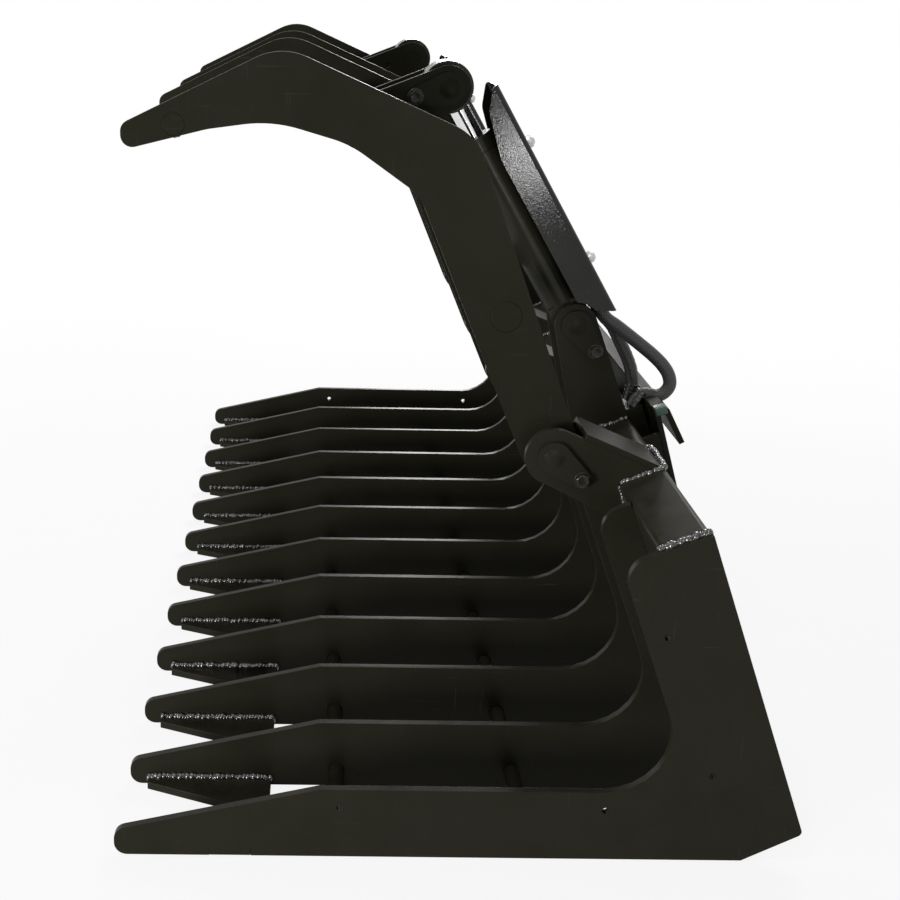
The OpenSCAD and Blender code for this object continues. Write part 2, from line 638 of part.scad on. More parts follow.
// Hoses: points from the port to the block, x and z from the base pin
hose_start = port_end - 0.3;
port_at = base_pin + port_n * [cos(cyl_turn), -sin(cyl_turn)] + hose_start * [sin(cyl_turn), cos(cyl_turn)];
outer_route = [[42, 24], [56, 6], [74, -6], [96, -22], [120, -40], [143, -58], [162, -76], [174, -94], [174, -108],
               [162, -112], [150, -108], [138, -108], [127, -116], [120, -130]];
inner_route = [[42, 24], [58, 4], [76, -16], [90, -41], [105, -68], [116, -95], [121, -122]];
block_top = back(line_w, block_s[1] + 0.3);
function along(p, i) =
    let (a = p[max(i - 1, 0)], b = p[min(i + 1, len(p) - 1)]) (b - a) / norm(b - a);
hose_sides = 10;
// A tube swept along an XZ route at one y
module hose(route, y) {
    n = len(route);
    ring = [for (i = [0:n - 1]) let (t = i == 0 ? [-sin(cyl_turn), -cos(cyl_turn)] : i == n - 1 ? [sin(lean), -cos(lean)] : along(route, i))
        for (k = [0:hose_sides - 1]) let (a = 360 * k / hose_sides, r = hose_d / 2)
            [route[i][0] - t[1] * r * cos(a), y + r * sin(a), route[i][1] + t[0] * r * cos(a)]];
    polyhedron(ring, concat(
        [[for (k = [0:hose_sides - 1]) k]],
        [[for (k = [hose_sides - 1:-1:0]) (n - 1) * hose_sides + k]],
        [for (i = [0:n - 2], k = [0:hose_sides - 1]) let (m = (k + 1) % hose_sides)
            [i * hose_sides + k, (i + 1) * hose_sides + k, (i + 1) * hose_sides + m, i * hose_sides + m]]));
}
module hoses(side) placed() color("#262624") {
    hose(concat([port_at], [for (p = outer_route) base_pin + p], [block_top]), side * arm_y - port_y);
    hose(concat([port_at], [for (p = inner_route) base_pin + p], [block_top]), side * arm_y + port_y);
}

side_plate(-1);  // side_plate_left
side_plate(1);  // side_plate_right
for (i = [1:rib_count - 2]) tine(i);
front_floor_plate();
cross_rods();
top_tube();
heel_plate();
attach_plate();
attach_lip();
attach_foot();
attach_gussets();
ears(-1);  // ears_left
ears(1);  // ears_right
ear_caps();
cylinder_mounts();
pivot_pins();
base_pins();
frame_retainers();
frame_bolts();
hose_blocks();
cross_tubes();
manifold();
couplers();
hoses(-1);  // hoses_left
hoses(1);  // hoses_right
arm_plates(-1);  // arm_plates_left
arm_plates(1);  // arm_plates_right
arm_bosses(-1);  // arm_bosses_left
arm_bosses(1);  // arm_bosses_right
arm_cross_members(-1);  // arm_cross_members_left
arm_cross_members(1);  // arm_cross_members_right
rod_lugs(-1);  // rod_lugs_left
rod_lugs(1);  // rod_lugs_right
rod_pin_piece(-1);  // rod_pin_left
rod_pin_piece(1);  // rod_pin_right
rod_retainer(-1);  // rod_retainer_left
rod_retainer(1);  // rod_retainer_right
barrel(-1);  // barrel_left
barrel(1);  // barrel_right
gland(-1);  // gland_left
gland(1);  // gland_right
guard(-1);  // guard_left
guard(1);  // guard_right
guard_nuts(-1);  // guard_nuts_left
guard_nuts(1);  // guard_nuts_right
oil_tube(-1);  // oil_tube_left
oil_tube(1);  // oil_tube_right
rod(-1);  // rod_left
rod(1);  // rod_right
piston(-1);  // piston_left
piston(1);  // piston_right
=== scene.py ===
"""Finishes, edges, welds, fasteners and hoses of a rock and brush grapple, with the studio round it."""

import json
import logging
import math
import random
from dataclasses import dataclass, field
from enum import Enum
from typing import Callable, Iterable, Sequence

import bpy
import numpy as np
from mathutils import Matrix, Vector


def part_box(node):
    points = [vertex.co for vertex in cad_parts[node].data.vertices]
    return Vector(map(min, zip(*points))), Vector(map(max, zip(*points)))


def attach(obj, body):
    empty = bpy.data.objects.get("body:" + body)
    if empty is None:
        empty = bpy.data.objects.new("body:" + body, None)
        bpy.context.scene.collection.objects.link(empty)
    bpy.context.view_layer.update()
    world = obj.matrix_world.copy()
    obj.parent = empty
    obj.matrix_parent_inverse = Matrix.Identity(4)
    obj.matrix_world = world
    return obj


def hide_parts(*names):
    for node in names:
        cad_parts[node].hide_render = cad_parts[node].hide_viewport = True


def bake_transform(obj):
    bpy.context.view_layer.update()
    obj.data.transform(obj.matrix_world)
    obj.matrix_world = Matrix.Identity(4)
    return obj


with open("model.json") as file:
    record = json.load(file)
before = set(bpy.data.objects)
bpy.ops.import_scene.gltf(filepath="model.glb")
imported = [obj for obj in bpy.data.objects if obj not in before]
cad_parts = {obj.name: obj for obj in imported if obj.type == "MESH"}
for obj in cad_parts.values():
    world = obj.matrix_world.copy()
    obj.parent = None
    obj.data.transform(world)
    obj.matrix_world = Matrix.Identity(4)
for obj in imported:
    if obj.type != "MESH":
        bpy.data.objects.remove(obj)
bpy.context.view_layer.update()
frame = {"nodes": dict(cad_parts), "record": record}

log = logging.getLogger("grapple")
Mesh = bpy.types.Object
Material = bpy.types.Material
Tree = bpy.types.NodeTree
Node = bpy.types.Node
Socket = bpy.types.NodeSocket
MM = 0.001


class Side(Enum):
    """The two clamp arms, by the sign of their Y."""

    LEFT = -1
    RIGHT = 1

    @property
    def label(self) -> str:
        """The word that ends the names of this side's nodes and bodies."""
        return self.name.lower()


@dataclass(frozen=True)
class Layout:
    """Places that several sub-assemblies share, in millimetres from the tine tips."""

    width: float = 2134.0
    tine_length: float = 1012.0
    middle: float = -1000.0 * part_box("tine_1")[0].x
    plate: float = 12.7
    ribs: int = 12
    heel_height: float = 46.0
    lean: float = math.radians(21.0)
    back_height: float = 503.0
    tube: float = 76.2
    arm_middle: float = 467.0
    arm_half: float = 267.0
    ear_span: float = 98.0
    attach_width: float = 1143.0
    attach_tilt: float = math.radians(3.5)
    attach_root: tuple = (-35.5, 508.0)
    retainer: float = 8.0
    pivot_offset: tuple = (82.0, 76.0)
    base_pin_offset: tuple = (39.6, 189.0)
    rod_pin_offset: tuple = (-164.0, 534.0)
    elbow_offset: tuple = (-290.6, 480.7)
    elbow_half: float = 31.75
    elbow_turn: float = math.radians(23.2)
    cylinder_turn: float = math.radians(-31.2494)

    def back(self, ahead: float, up: float) -> tuple[float, float]:
        """Give the X and Z of a point of the leaning back.

        Args:
            ahead: distance ahead of the back's rear line.
            up: distance up along the lean from the heel.

        Returns:
            X from the tips and Z from the ground.
        """
        c, s = math.cos(self.lean), math.sin(self.lean)
        return (self.tine_length - ahead * c - up * s, self.heel_height - ahead * s + up * c)

    def tail(self, ahead: float, up: float) -> tuple[float, float]:
        """Give the X and Z of a point of the attach plate, which stands a little more upright.

        Args:
            ahead: distance ahead of the back's rear line, at the plate's upper edge.
            up: distance up along the plate.

        Returns:
            X from the tips and Z from the ground.
        """
        x, z = self.back(*self.attach_root)
        c, s = math.cos(self.lean - self.attach_tilt), math.sin(self.lean - self.attach_tilt)
        u, v = ahead - self.attach_root[0], up - self.attach_root[1]
        return (x - u * c - v * s, z - u * s + v * c)

    def at(self, xz: Sequence[float], y: float) -> Vector:
        """Turn an XZ point in millimetres and a Y into a point of the shared frame.

        Args:
            xz: X from the tips and Z from the ground.
            y: distance from the middle.

        Returns:
            The point in metres.
        """
        return Vector(((xz[0] - self.middle) * MM, y * MM, xz[1] * MM))

    def rib_y(self, index: int) -> float:
        """Give the Y of a rib's middle plane."""
        return -self.width / 2 + self.plate / 2 + index * (self.width - self.plate) / (self.ribs - 1)

    @property
    def pivot(self) -> tuple[float, float]:
        """The arms' pivot pin."""
        return self.back(self.tube + self.pivot_offset[0], self.back_height + self.pivot_offset[1])

    @property
    def base_pin(self) -> tuple[float, float]:
        """The cylinders' base pin."""
        return self.back(self.base_pin_offset[0], self.back_height + self.base_pin_offset[1])

    @property
    def rod_pin(self) -> tuple[float, float]:
        """The cylinders' rod pin, on the arm."""
        return self.from_pivot(*self.rod_pin_offset)

    def from_pivot(self, u: float, v: float) -> tuple[float, float]:
        """Give the X and Z of a point of an arm, measured from its pivot pin."""
        return (self.pivot[0] + u, self.pivot[1] + v)

    def on_cylinder(self, out: float, y: float, along: float, side: "Side") -> Vector:
        """Give a point in a cylinder's own frame.

        Args:
            out: distance from its axis towards the guard.
            y: distance from its middle plane.
            along: distance along its axis from the base pin.
            side: the arm that it moves.

        Returns:
            The point in metres.
        """
        c, s = math.cos(self.cylinder_turn), math.sin(self.cylinder_turn)
        x, z = self.base_pin
        return self.at((x + out * c + along * s, z - out * s + along * c), side.value * self.arm_middle + y)

    def on_elbow(self, u: float, v: float) -> tuple[float, float]:
        """Give the X and Z of a point in the frame of an arm's elbow tube."""
        c, s = math.cos(self.elbow_turn), math.sin(self.elbow_turn)
        x, z = self.from_pivot(*self.elbow_offset)
        return (x + u * c + v * s, z + v * c - u * s)


PLAN = Layout()
BODY_OF = {
    node: body
    for body, nodes in frame["record"]["behaviour"]["bodies"].items()
    for node in nodes
}


def facing(way: Vector, axis: str, up: str) -> Matrix:
    """Give the turn that points a piece's own axis along a direction."""
    return way.to_track_quat(axis, up).to_matrix().to_4x4()


def clear() -> None:
    """Deselect everything."""
    bpy.ops.object.select_all(action="DESELECT")


def only(piece: Mesh) -> None:
    """Make a piece the only selected and active one."""
    clear()
    piece.select_set(True)
    bpy.context.view_layer.objects.active = piece


def edit(piece: Mesh, select: str = "SELECT") -> None:
    """Open a piece in edit mode with all of it selected, or none."""
    only(piece)
    bpy.ops.object.mode_set(mode="EDIT")
    bpy.ops.mesh.select_all(action=select)


def leave() -> None:
    """Go back to object mode."""
    bpy.ops.object.mode_set(mode="OBJECT")


def settle(piece: Mesh) -> None:
    """Put a piece's place into its mesh."""
    only(piece)
    bpy.ops.object.transform_apply(location=True, rotation=True, scale=True)


def modify(piece: Mesh, kind: str, **settings: object) -> None:
    """Add one modifier with its settings and apply it.

    Args:
        piece: the object to change.
        kind: the modifier's type.
        settings: its values.
    """
    only(piece)
    step = piece.modifiers.new(kind.title(), kind)
    for key, value in settings.items():
        setattr(step, key, value)
    bpy.ops.object.modifier_apply(modifier=step.name)


def smooth(piece: Mesh, degrees: float) -> None:
    """Shade a piece smooth, with edges over an angle kept sharp."""
    only(piece)
    bpy.ops.object.shade_smooth_by_angle(angle=math.radians(degrees))


def active(name: str) -> Mesh:
    """Name the object that an operator has just added, and give it back."""
    piece = bpy.context.view_layer.objects.active
    piece.name = name
    piece.data.name = name
    return piece


def put(name: str, data: bpy.types.ID) -> Mesh:
    """Put a new object into the scene."""
    piece = bpy.data.objects.new(name, data)
    bpy.context.scene.collection.objects.link(piece)
    return piece


def join(parts: Sequence[Mesh]) -> Mesh:
    """Join pieces into the last of them, and give it back."""
    clear()
    for part in parts:
        part.select_set(True)
    bpy.context.view_layer.objects.active = parts[-1]
    bpy.ops.object.join()
    return parts[-1]


def normals_out(piece: Mesh) -> None:
    """Merge doubles and turn every face outwards."""
    edit(piece)
    bpy.ops.mesh.remove_doubles(threshold=1e-6)
    bpy.ops.mesh.normals_make_consistent(inside=False)
    leave()


def dress(piece: Mesh, material: Material) -> None:
    """Give a piece one material."""
    piece.data.materials.clear()
    piece.data.materials.append(material)


def repeat(template: Mesh, places: Iterable[Matrix], name: str) -> Mesh:
    """Copy a template's mesh to many places, as one new piece at the origin.

    Args:
        template: the modelled piece, which stays as it is.
        places: one matrix for each copy.
        name: the new piece's name.

    Returns:
        The new piece.
    """
    mesh = template.data
    points = np.array([v.co for v in mesh.vertices], float).reshape(-1, 3)
    faces = [tuple(p.vertices) for p in mesh.polygons]
    verts: list = []
    polys: list = []
    for place in places:
        m = np.array(place, float)
        start = len(verts)
        verts.extend((points @ m[:3, :3].T + m[:3, 3]).tolist())
        polys.extend([tuple(start + i for i in face) for face in faces])
    data = bpy.data.meshes.new(name)
    data.from_pydata(verts, [], polys)
    return put(name, data)


def turned(profile: Sequence[tuple[float, float]], name: str, steps: int = 24) -> Mesh:
    """Spin an outline round the Z axis, as on a lathe.

    Args:
        profile: radius and height of each corner in millimetres.
        name: the new piece's name.
        steps: number of sides.

    Returns:
        The closed turned piece at the origin.
    """
    data = bpy.data.meshes.new(name)
    edges = [(i, i + 1) for i in range(len(profile) - 1)]
    data.from_pydata([(r * MM, 0.0, z * MM) for r, z in profile], edges, [])
    piece = put(name, data)
    edit(piece)
    bpy.ops.mesh.spin(steps=steps, angle=math.tau, center=(0, 0, 0), axis=(0, 0, 1))
    leave()
    normals_out(piece)
    return piece


def finish(
    piece: Mesh, material: Material, body: str,
    covers: Sequence[str] = (), degrees: float = 32.0,
) -> None:
    """Shade, dress and hang a piece on its body.

    Args:
        piece: the finished mesh.
        material: its material.
        body: the body that it moves with.
        covers: CAD nodes that it stands for.
        degrees: the angle over which an edge stays sharp.
    """
    smooth(piece, degrees)
    dress(piece, material)
    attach(piece, body)
    if covers:
        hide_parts(*covers)
    log.info("%s made", piece.name)


def remove(piece: Mesh) -> None:
    """Take a template away once its copies are made."""
    bpy.data.objects.remove(piece)


class Nodes:
    """A node tree that is written one short line at a time."""

    def __init__(self, tree: Tree) -> None:
        """Keep the tree to write in."""
        self.tree = tree

    def add(self, kind: str, inputs: dict | None = None, **props: object) -> Node:
        """Add a node.

        Args:
            kind: its type, without the leading word ShaderNode.
            inputs: values or sockets for its inputs, by name or index.
            props: properties of the node.

        Returns:
            The node.
        """
        node = self.tree.nodes.new("ShaderNode" + kind)
        for key, value in props.items():
            setattr(node, key, value)
        for key, value in (inputs or {}).items():
            if isinstance(value, Socket):
                self.tree.links.new(value, node.inputs[key])
            else:
                node.inputs[key].default_value = value
        return node

    def math(self, operation: str, a: object, b: object = 0.0, clamp: bool = False) -> Socket:
        """Add a Math node of two values and give its output."""
        return self.add("Math", {0: a, 1: b}, operation=operation, use_clamp=clamp).outputs[0]

    def ramp(self, value: object, low: object, high: object, start: float = 0.0, end: float = 1.0) -> Socket:
        """Map a value from one range to another, held at both ends."""
        return self.add(
            "MapRange",
            {"Value": value, "From Min": low, "From Max": high, "To Min": start, "To Max": end},
        ).outputs["Result"]

    def mix(self, factor: object, a: object, b: object) -> Socket:
        """Mix two colours and give the result."""
        return self.add("Mix", {0: factor, 6: a, 7: b}, data_type="RGBA").outputs[2]

    def place(self) -> Socket:
        """Give Object coordinates."""
        return self.add("TexCoord").outputs["Object"]

    def noise(self, scale: object, detail: float = 3.0, rough: float = 0.55, vector: object = None) -> Socket:
        """Add a noise on Object coordinates and give its value."""
        inputs = {"Scale": scale, "Detail": detail, "Roughness": rough, "Vector": vector or self.place()}
        return self.add("TexNoise", inputs).outputs[0]


def group(name: str, takes: Sequence[tuple], gives: Sequence[tuple]) -> tuple[Nodes, Node, Node]:
    """Start a shader node group with named sockets.

    Args:
        name: the group's name.
        takes: name, socket type and value of each input.
        gives: name and socket type of each output.

    Returns:
        The node writer, the group's input node and its output node.
    """
    tree = bpy.data.node_groups.new(name, "ShaderNodeTree")
    for label, kind, value in takes:
        socket = tree.interface.new_socket(label, in_out="INPUT", socket_type="NodeSocket" + kind)
        socket.default_value = value
    for label, kind in gives:
        tree.interface.new_socket(label, in_out="OUTPUT", socket_type="NodeSocket" + kind)
    nodes = Nodes(tree)
    return nodes, tree.nodes.new("NodeGroupInput"), tree.nodes.new("NodeGroupOutput")


class Effects:
    """The node groups that the finishes share, each made once."""

    def __init__(self) -> None:
        """Build every group."""
        self.patches = self._patches()
        self.skin = self._skin()
        self.dust = self._dust()
        self.scratches = self._scratches()
        self.braid = self._braid()

    @staticmethod
    def _patches() -> Tree:
        """Make soft uneven patches, as a mask."""
        n, take, give = group(
            "uneven_patches",
            [("Scale", "Float", 8.0), ("Low", "Float", 0.4), ("High", "Float", 0.7)],
            [("Mask", "Float")],
        )
        value = n.noise(take.outputs["Scale"], 5.0, 0.62)
        mask = n.ramp(value, take.outputs["Low"], take.outputs["High"])
        n.tree.links.new(mask, give.inputs["Mask"])
        return n.tree

    @staticmethod
    def _skin() -> Tree:
        """Make the fine waves of sprayed paint, as a normal."""
        n, take, give = group(
            "sprayed_skin",
            [("Scale", "Float", 420.0), ("Depth", "Float", 0.0002), ("Plate Waves", "Float", 0.3)],
            [("Normal", "Vector")],
        )
        fine = n.noise(take.outputs["Scale"], 2.0, 0.5)
        wave = n.math("MULTIPLY", n.noise(9.0, 2.0, 0.5), take.outputs["Plate Waves"])
        height = n.math("ADD", fine, wave)
        bump = n.add("Bump", {"Height": height, "Distance": take.outputs["Depth"], "Strength": 1.0})
        n.tree.links.new(bump.outputs["Normal"], give.inputs["Normal"])
        return n.tree

    @staticmethod
    def _dust() -> Tree:
        """Lay dust on faces that look up, as a colour and a mask."""
        n, take, give = group(
            "settled_dust",
            [
                ("Colour", "Color", (0.01, 0.01, 0.01, 1.0)),
                ("Dust", "Color", (0.2, 0.18, 0.15, 1.0)),
                ("Amount", "Float", 0.2),
            ],
            [("Colour", "Color"), ("Mask", "Float")],
        )
        up = n.add("SeparateXYZ", {0: n.add("NewGeometry").outputs["Normal"]}).outputs["Z"]
        lying = n.ramp(up, 0.35, 0.95, 0.12, 1.0)
        cloud = n.ramp(n.noise(14.0, 6.0, 0.65), 0.35, 0.75)
        speck = n.ramp(n.noise(310.0, 2.0, 0.5), 0.58, 0.7)
        cover = n.math("MULTIPLY", n.math("MAXIMUM", cloud, speck), lying)
        mask = n.math("MULTIPLY", cover, take.outputs["Amount"], clamp=True)
        mixed = n.mix(mask, take.outputs["Colour"], take.outputs["Dust"])
        n.tree.links.new(mixed, give.inputs["Colour"])
        n.tree.links.new(mask, give.inputs["Mask"])
        return n.tree

    @staticmethod
    def _scratches() -> Tree:
        """Make sparse fine scratches along two slants, as a mask."""
        n, take, give = group("fine_scratches", [("Amount", "Float", 0.5)], [("Mask", "Float")])
        masks = []
        for turn, scale in ((0.5, (14.0, 60.0, 420.0)), (-0.9, (380.0, 50.0, 12.0))):
            turned = n.add("Mapping", {"Vector": n.place(), "Rotation": (0.2, turn, 0.1), "Scale": scale})
            masks.append(n.ramp(n.noise(1.0, 1.0, 0.4, turned.outputs[0]), 0.735, 0.76))
        broken = n.ramp(n.noise(5.0, 3.0, 0.6), 0.5, 0.62)
        both = n.math("MULTIPLY", n.math("MAXIMUM", masks[0], masks[1]), broken)
        n.tree.links.new(n.math("MULTIPLY", both, take.outputs["Amount"], clamp=True), give.inputs["Mask"])
        return n.tree

    @staticmethod
    def _braid() -> Tree:
        """Make the crossed strands of a woven sleeve, from a piece's own UV map, as a mask."""
        n, take, give = group(
            "woven_sleeve",
            [("Round", "Float", 14.0), ("Along", "Float", 120.0)],
            [("Mask", "Float")],
        )
        uv = n.add("SeparateXYZ", {0: n.add("TexCoord").outputs["UV"]})
        a = n.math("MULTIPLY", uv.outputs["X"], take.outputs["Round"])
        b = n.math("MULTIPLY", uv.outputs["Y"], take.outputs["Along"])
        right = n.math("SINE", n.math("MULTIPLY", n.math("ADD", a, b), math.tau))
        left = n.math("SINE", n.math("MULTIPLY", n.math("SUBTRACT", a, b), math.tau))
        top = n.math("MULTIPLY", n.math("ADD", right, left), 0.25)
        n.tree.links.new(n.math("ADD", top, 0.5), give.inputs["Mask"])
        return n.tree


def start_material(name: str) -> tuple[Material, Nodes, Node]:
    """Start a node material.

    Args:
        name: its name.

    Returns:
        The material, its node writer and its main shader.
    """
    mat = bpy.data.materials.new(name)
    mat.use_nodes = True
    return mat, Nodes(mat.node_tree), mat.node_tree.nodes["Principled BSDF"]


def connect(n: Nodes, shader: Node, colour: Socket, roughness: Socket, normal: Socket) -> None:
    """Link a material's colour, roughness and normal to its shader."""
    for key, socket in (("Base Color", colour), ("Roughness", roughness), ("Normal", normal)):
        n.tree.links.new(socket, shader.inputs[key])


@dataclass(frozen=True)
class PaintFinish:
    """Black sprayed paint on steel."""

    name: str
    colour: tuple = (0.0128, 0.0121, 0.0076)
    worn: tuple = (0.0155, 0.0147, 0.0101)
    scuff: tuple = (0.045, 0.044, 0.041)
    roughness: float = 0.3
    specular: float = 0.06
    coat: float = 0.0
    coat_roughness: float = 0.06
    patch_scale: float = 6.5
    skin_depth: float = 0.00012
    plate_waves: float = 0.5
    dust: float = 0.10
    scratch: float = 0.35

    def material(self, effects: Effects) -> Material:
        """Build the paint's material from the shared groups."""
        mat, n, shader = start_material(self.name)
        patches = n.add("Group", {"Scale": self.patch_scale}, node_tree=effects.patches).outputs[0]
        scratch = n.add("Group", {"Amount": self.scratch}, node_tree=effects.scratches).outputs[0]
        tone = n.mix(n.math("MULTIPLY", patches, 0.4), (*self.colour, 1.0), (*self.worn, 1.0))
        scuffed = n.mix(scratch, tone, (*self.scuff, 1.0))
        dust = n.add("Group", {"Colour": scuffed, "Amount": self.dust}, node_tree=effects.dust)
        waves = {"Depth": self.skin_depth, "Plate Waves": self.plate_waves}
        skin = n.add("Group", waves, node_tree=effects.skin).outputs[0]
        gloss = n.ramp(patches, 0.0, 1.0, self.roughness - 0.02, self.roughness + 0.03)
        gloss = n.math("ADD", gloss, n.math("MULTIPLY", dust.outputs["Mask"], 0.5))
        connect(n, shader, dust.outputs["Colour"], gloss, skin)
        shader.inputs["Specular IOR Level"].default_value = self.specular
        shader.inputs["Coat Weight"].default_value = self.coat
        shader.inputs["Coat Roughness"].default_value = self.coat_roughness
        return mat


@dataclass(frozen=True)
class MetalFinish:
    """Bare or plated metal."""

    name: str
    colour: tuple = (0.56, 0.56, 0.54)
    stain: tuple = (0.24, 0.23, 0.21)
    roughness: float = 0.32
    patch_scale: float = 45.0
    grain: float = 0.00004
    grain_scale: float = 900.0

    def material(self, effects: Effects) -> Material:
        """Build the metal's material from the shared groups."""
        mat, n, shader = start_material(self.name)
        patches = n.add("Group", {"Scale": self.patch_scale}, node_tree=effects.patches).outputs[0]
        tone = n.mix(n.math("MULTIPLY", patches, 0.6), (*self.colour, 1.0), (*self.stain, 1.0))
        fine = {"Scale": self.grain_scale, "Depth": self.grain, "Plate Waves": 0.0}
        skin = n.add("Group", fine, node_tree=effects.skin).outputs[0]
        gloss = n.ramp(patches, 0.0, 1.0, self.roughness - 0.06, self.roughness + 0.16)
        connect(n, shader, tone, gloss, skin)
        shader.inputs["Metallic"].default_value = 1.0
        return mat


@dataclass(frozen=True)
class SoftFinish:
    """Woven nylon or tape."""

    name: str
    colour: tuple
    light: tuple
    roughness: float
    braided: bool = False

    def material(self, effects: Effects) -> Material:
        """Build the soft material, with its weave where it has one."""
        mat, n, shader = start_material(self.name)
        if self.braided:
            mask = n.add("Group", node_tree=effects.braid).outputs[0]
            relief = {"Height": mask, "Distance": 0.0006, "Strength": 0.8}
        else:
            mask = n.noise(60.0, 4.0, 0.6)
            relief = {"Height": n.noise(800.0, 2.0, 0.5), "Distance": 0.0001, "Strength": 0.7}
        bump = n.add("Bump", relief).outputs["Normal"]
        tone = n.mix(mask, (*self.colour, 1.0), (*self.light, 1.0))
        dust = n.add("Group", {"Colour": tone, "Amount": 0.2}, node_tree=effects.dust)
        gloss = n.ramp(mask, 0.0, 1.0, self.roughness + 0.08, self.roughness - 0.08)
        connect(n, shader, dust.outputs["Colour"], gloss, bump)
        return mat


class Finishes:
    """Every material of the grapple, by name."""

    def __init__(self) -> None:
        """Build the shared groups and then each material."""
        fx = Effects()
        self.frame = PaintFinish("frame_paint_black").material(fx)
        self.tube = PaintFinish("tube_paint_black", specular=0.04).material(fx)
        self.bolt = PaintFinish("bolt_head_paint", roughness=0.2, specular=0.25).material(fx)
        self.cylinder = PaintFinish("cylinder_paint_black", roughness=0.24, specular=0.15).material(fx)
        # The arms' copy of the black paint is set darker than the frame's. This is painted shade that evens
        # out the extra lamp light the arms catch.
        self.arm = PaintFinish(
            "arm_paint_black", (0.0104, 0.0101, 0.0056), roughness=0.34, specular=0.05, dust=0.07,
        ).material(fx)
        self.guard = PaintFinish(
            "guard_paint_gloss", (0.008, 0.0078, 0.0062), roughness=0.07, specular=0.3,
            plate_waves=0.8, dust=0.03, scratch=0.5,
        ).material(fx)
        self.weld = PaintFinish(
            "weld_bead_paint", (0.012, 0.0118, 0.0095), (0.03, 0.029, 0.025), roughness=0.14,
            specular=0.6, coat=0.6, skin_depth=0.0006, dust=0.0, scratch=0.0,
        ).material(fx)
        self.zinc = MetalFinish("zinc_plate").material(fx)
        self.chrome = MetalFinish(
            "hard_chrome", (0.78, 0.78, 0.78), (0.6, 0.6, 0.6), roughness=0.1, grain=0.00001,
        ).material(fx)
        self.dark_steel = MetalFinish(
            "blackened_steel", (0.09, 0.088, 0.082), (0.03, 0.03, 0.028), roughness=0.34,
        ).material(fx)
        self.sleeve = SoftFinish(
            "woven_sleeve_nylon", (0.008, 0.008, 0.008), (0.05, 0.05, 0.048), 0.5, braided=True,
        ).material(fx)
        self.net = SoftFinish(
            "hose_net", (0.01, 0.01, 0.0095), (0.07, 0.069, 0.064), 0.36, braided=True,
        ).material(fx)
        self.tape = SoftFinish("green_tape", (0.012, 0.045, 0.031), (0.03, 0.085, 0.062), 0.35).material(fx)


